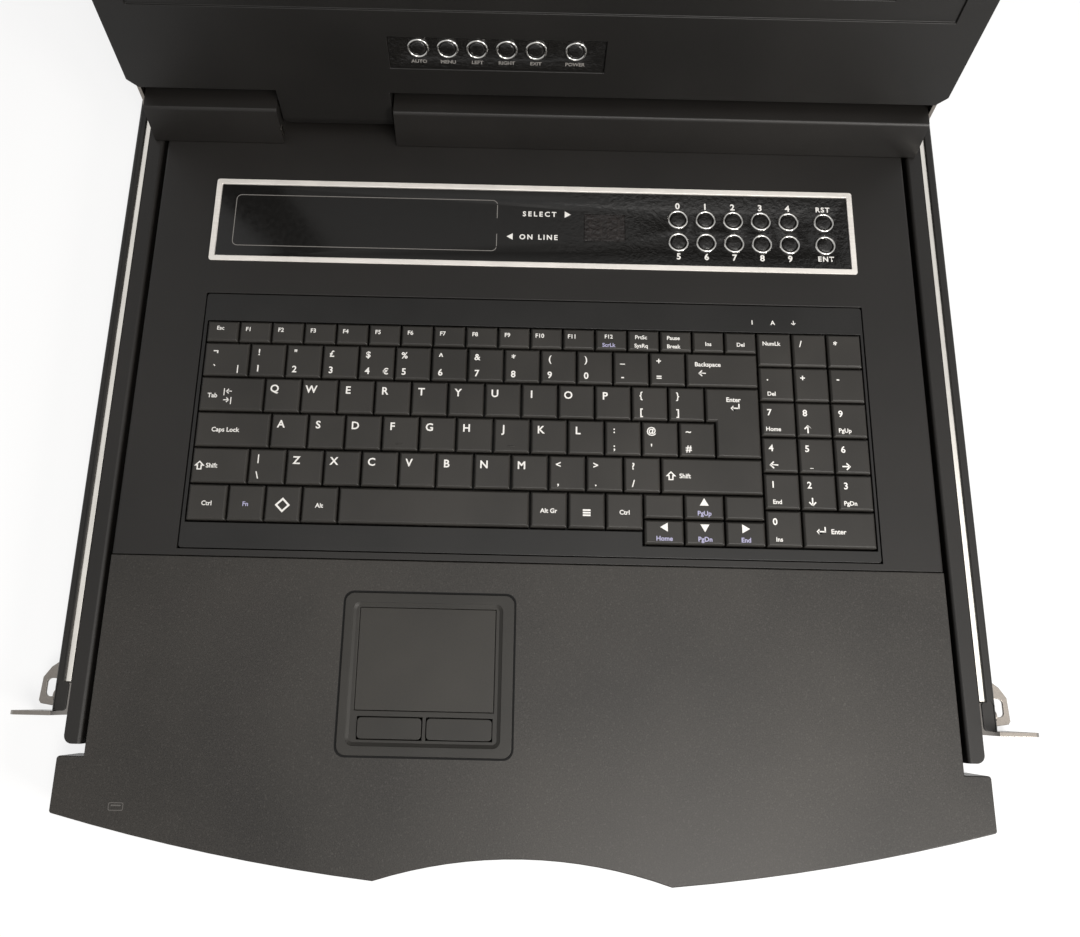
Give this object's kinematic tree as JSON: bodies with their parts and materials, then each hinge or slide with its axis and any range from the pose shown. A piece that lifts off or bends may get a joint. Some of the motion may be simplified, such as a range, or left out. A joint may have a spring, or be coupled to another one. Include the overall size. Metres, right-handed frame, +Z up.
{
  "type": "rackmount lcd console drawer",
  "caption": "Slide-out console drawer for a server rack: hinged flat screen over a keyboard, touchpad and selector panel, on telescopic ball slides.",
  "frame": {"origin": "middle of the four front rack screws, on the front face of the ears", "axes": "+X to the right seen from the front, +Y into the rack, +Z up"},
  "size_m": [0.4826, 0.669, 0.3935],
  "materials": {
    "tray_paint": "fine-textured powder coat, satin",
    "palm_paint": "grained powder coat, satin",
    "rail_paint": "black powder coat, satin",
    "lid_paint": "smooth black paint, satin",
    "zinc_steel": "bright zinc plate",
    "ball_steel": "polished",
    "nickel_steel": "nickel plate",
    "bright_frame": "satin silver",
    "panel_gloss": "gloss black",
    "button_plastic": "semi-gloss black",
    "key_plastic": "fine-textured matt black",
    "frame_plastic": "matt black",
    "touch_plastic": "matt black",
    "circuit": "dark red display on a board",
    "socket_metal": "tinned shells, black inserts",
    "screen_dark": "dark display pane"
  },
  "bodies": {
    "root": {"outer_rail_left": "rail_paint", "outer_rail_right": "rail_paint", "ear_left": "nickel_steel", "ear_right": "nickel_steel", "rear_bracket_left": "rail_paint", "rear_bracket_right": "rail_paint", "slide_outer_left": "zinc_steel", "slide_outer_right": "zinc_steel"},
    "slide_middle": {"slide_middle_left": "zinc_steel", "slide_middle_right": "zinc_steel"},
    "cage_outer": {"ball_cages_outer": "ball_steel"},
    "cage_inner": {"ball_cages_inner": "ball_steel"},
    "drawer": {"tray_pan": "tray_paint", "slide_inner_left": "zinc_steel", "slide_inner_right": "zinc_steel", "palm_rest": "palm_paint", "keyboard_deck": "tray_paint", "keyboard_frame": "frame_plastic", "panel_frame": "bright_frame", "panel_face": "panel_gloss", "display_board": "circuit", "touchpad_frame": "touch_plastic", "touchpad_surface": "touch_plastic", "hinge_cover_left": "tray_paint", "hinge_cover_right": "tray_paint", "rear_cover": "tray_paint", "rear_sockets": "socket_metal"},
    "lid": {"lid_shell": "lid_paint", "lid_front": "lid_paint", "osd_plate": "panel_gloss", "screen_panel": "screen_dark", "hinge_arms": "nickel_steel", "hinge_pins": "nickel_steel"},
    "panel_button_0": {"panel_button_0": "button_plastic"},
    "panel_button_1": {"panel_button_1": "button_plastic"},
    "panel_button_2": {"panel_button_2": "button_plastic"},
    "panel_button_3": {"panel_button_3": "button_plastic"},
    "panel_button_4": {"panel_button_4": "button_plastic"},
    "panel_button_5": {"panel_button_5": "button_plastic"},
    "panel_button_6": {"panel_button_6": "button_plastic"},
    "panel_button_7": {"panel_button_7": "button_plastic"},
    "panel_button_8": {"panel_button_8": "button_plastic"},
    "panel_button_9": {"panel_button_9": "button_plastic"},
    "panel_button_reset": {"panel_button_reset": "button_plastic"},
    "panel_button_enter": {"panel_button_enter": "button_plastic"},
    "screen_button_auto": {"screen_button_auto": "button_plastic"},
    "screen_button_menu": {"screen_button_menu": "button_plastic"},
    "screen_button_left": {"screen_button_left": "button_plastic"},
    "screen_button_right": {"screen_button_right": "button_plastic"},
    "screen_button_exit": {"screen_button_exit": "button_plastic"},
    "screen_button_power": {"screen_button_power": "button_plastic"},
    "touchpad_button_left": {"touchpad_button_left": "touch_plastic"},
    "touchpad_button_right": {"touchpad_button_right": "touch_plastic"},
    "function_row_keys": {"function_row_keys": "key_plastic"},
    "number_row_keys": {"number_row_keys": "key_plastic"},
    "upper_row_keys": {"upper_row_keys": "key_plastic"},
    "home_row_keys": {"home_row_keys": "key_plastic"},
    "lower_row_keys": {"lower_row_keys": "key_plastic"},
    "bottom_row_keys": {"bottom_row_keys": "key_plastic"},
    "numpad_keys": {"numpad_keys": "key_plastic"}
  },
  "joints": [
    {"name": "drawer_slide", "type": "slide", "parent": "root", "child": "drawer", "axis": [0, -1, 0], "range_m": [-0.015, 0.36]},
    {"name": "slide_middle_travel", "type": "slide", "parent": "root", "child": "slide_middle", "axis": [0, -1, 0], "range_m": [-0.0075, 0.18]},
    {"name": "cage_outer_travel", "type": "slide", "parent": "root", "child": "cage_outer", "axis": [0, -1, 0], "range_m": [-0.00375, 0.09]},
    {"name": "cage_inner_travel", "type": "slide", "parent": "root", "child": "cage_inner", "axis": [0, -1, 0], "range_m": [-0.01125, 0.27]},
    {"name": "lid_hinge", "type": "hinge", "parent": "drawer", "child": "lid", "pos_m": [0, 0.326, 0.01771], "axis": [1, 0, 0], "range_deg": [-7, 103]},
    {"name": "panel_button_0_press", "type": "slide", "parent": "drawer", "child": "panel_button_0", "axis": [0, 0, -1], "range_m": [0, 0.0007], "stiffness_N_per_m": 600, "springref_m": -0.0005},
    {"name": "panel_button_1_press", "type": "slide", "parent": "drawer", "child": "panel_button_1", "axis": [0, 0, -1], "range_m": [0, 0.0007], "stiffness_N_per_m": 600, "springref_m": -0.0005},
    {"name": "panel_button_2_press", "type": "slide", "parent": "drawer", "child": "panel_button_2", "axis": [0, 0, -1], "range_m": [0, 0.0007], "stiffness_N_per_m": 600, "springref_m": -0.0005},
    {"name": "panel_button_3_press", "type": "slide", "parent": "drawer", "child": "panel_button_3", "axis": [0, 0, -1], "range_m": [0, 0.0007], "stiffness_N_per_m": 600, "springref_m": -0.0005},
    {"name": "panel_button_4_press", "type": "slide", "parent": "drawer", "child": "panel_button_4", "axis": [0, 0, -1], "range_m": [0, 0.0007], "stiffness_N_per_m": 600, "springref_m": -0.0005},
    {"name": "panel_button_5_press", "type": "slide", "parent": "drawer", "child": "panel_button_5", "axis": [0, 0, -1], "range_m": [0, 0.0007], "stiffness_N_per_m": 600, "springref_m": -0.0005},
    {"name": "panel_button_6_press", "type": "slide", "parent": "drawer", "child": "panel_button_6", "axis": [0, 0, -1], "range_m": [0, 0.0007], "stiffness_N_per_m": 600, "springref_m": -0.0005},
    {"name": "panel_button_7_press", "type": "slide", "parent": "drawer", "child": "panel_button_7", "axis": [0, 0, -1], "range_m": [0, 0.0007], "stiffness_N_per_m": 600, "springref_m": -0.0005},
    {"name": "panel_button_8_press", "type": "slide", "parent": "drawer", "child": "panel_button_8", "axis": [0, 0, -1], "range_m": [0, 0.0007], "stiffness_N_per_m": 600, "springref_m": -0.0005},
    {"name": "panel_button_9_press", "type": "slide", "parent": "drawer", "child": "panel_button_9", "axis": [0, 0, -1], "range_m": [0, 0.0007], "stiffness_N_per_m": 600, "springref_m": -0.0005},
    {"name": "panel_button_reset_press", "type": "slide", "parent": "drawer", "child": "panel_button_reset", "axis": [0, 0, -1], "range_m": [0, 0.0007], "stiffness_N_per_m": 600, "springref_m": -0.0005},
    {"name": "panel_button_enter_press", "type": "slide", "parent": "drawer", "child": "panel_button_enter", "axis": [0, 0, -1], "range_m": [0, 0.0007], "stiffness_N_per_m": 600, "springref_m": -0.0005},
    {"name": "screen_button_auto_press", "type": "slide", "parent": "lid", "child": "screen_button_auto", "axis": [0, 0.9744, -0.225], "range_m": [0, 0.0007], "stiffness_N_per_m": 600, "springref_m": -0.0005},
    {"name": "screen_button_menu_press", "type": "slide", "parent": "lid", "child": "screen_button_menu", "axis": [0, 0.9744, -0.225], "range_m": [0, 0.0007], "stiffness_N_per_m": 600, "springref_m": -0.0005},
    {"name": "screen_button_left_press", "type": "slide", "parent": "lid", "child": "screen_button_left", "axis": [0, 0.9744, -0.225], "range_m": [0, 0.0007], "stiffness_N_per_m": 600, "springref_m": -0.0005},
    {"name": "screen_button_right_press", "type": "slide", "parent": "lid", "child": "screen_button_right", "axis": [0, 0.9744, -0.225], "range_m": [0, 0.0007], "stiffness_N_per_m": 600, "springref_m": -0.0005},
    {"name": "screen_button_exit_press", "type": "slide", "parent": "lid", "child": "screen_button_exit", "axis": [0, 0.9744, -0.225], "range_m": [0, 0.0007], "stiffness_N_per_m": 600, "springref_m": -0.0005},
    {"name": "screen_button_power_press", "type": "slide", "parent": "lid", "child": "screen_button_power", "axis": [0, 0.9744, -0.225], "range_m": [0, 0.0007], "stiffness_N_per_m": 600, "springref_m": -0.0005},
    {"name": "touchpad_button_left_press", "type": "slide", "parent": "drawer", "child": "touchpad_button_left", "axis": [0, 0, -1], "range_m": [0, 0.0006], "stiffness_N_per_m": 800, "springref_m": -0.0005},
    {"name": "touchpad_button_right_press", "type": "slide", "parent": "drawer", "child": "touchpad_button_right", "axis": [0, 0, -1], "range_m": [0, 0.0006], "stiffness_N_per_m": 800, "springref_m": -0.0005},
    {"name": "function_row_keys_press", "type": "slide", "parent": "drawer", "child": "function_row_keys", "axis": [0, 0, -1], "range_m": [0, 0.0025], "stiffness_N_per_m": 3000, "springref_m": -0.0005},
    {"name": "number_row_keys_press", "type": "slide", "parent": "drawer", "child": "number_row_keys", "axis": [0, 0, -1], "range_m": [0, 0.0025], "stiffness_N_per_m": 3000, "springref_m": -0.0005},
    {"name": "upper_row_keys_press", "type": "slide", "parent": "drawer", "child": "upper_row_keys", "axis": [0, 0, -1], "range_m": [0, 0.0025], "stiffness_N_per_m": 3000, "springref_m": -0.0005},
    {"name": "home_row_keys_press", "type": "slide", "parent": "drawer", "child": "home_row_keys", "axis": [0, 0, -1], "range_m": [0, 0.0025], "stiffness_N_per_m": 3000, "springref_m": -0.0005},
    {"name": "lower_row_keys_press", "type": "slide", "parent": "drawer", "child": "lower_row_keys", "axis": [0, 0, -1], "range_m": [0, 0.0025], "stiffness_N_per_m": 3000, "springref_m": -0.0005},
    {"name": "bottom_row_keys_press", "type": "slide", "parent": "drawer", "child": "bottom_row_keys", "axis": [0, 0, -1], "range_m": [0, 0.0025], "stiffness_N_per_m": 3000, "springref_m": -0.0005},
    {"name": "numpad_keys_press", "type": "slide", "parent": "drawer", "child": "numpad_keys", "axis": [0, 0, -1], "range_m": [0, 0.0025], "stiffness_N_per_m": 3000, "springref_m": -0.0005}
  ],
  "couplings": [
    {"joint": "slide_middle_travel", "follows": "drawer_slide", "ratio": 0.5},
    {"joint": "cage_outer_travel", "follows": "drawer_slide", "ratio": 0.25},
    {"joint": "cage_inner_travel", "follows": "drawer_slide", "ratio": 0.75}
  ]
}
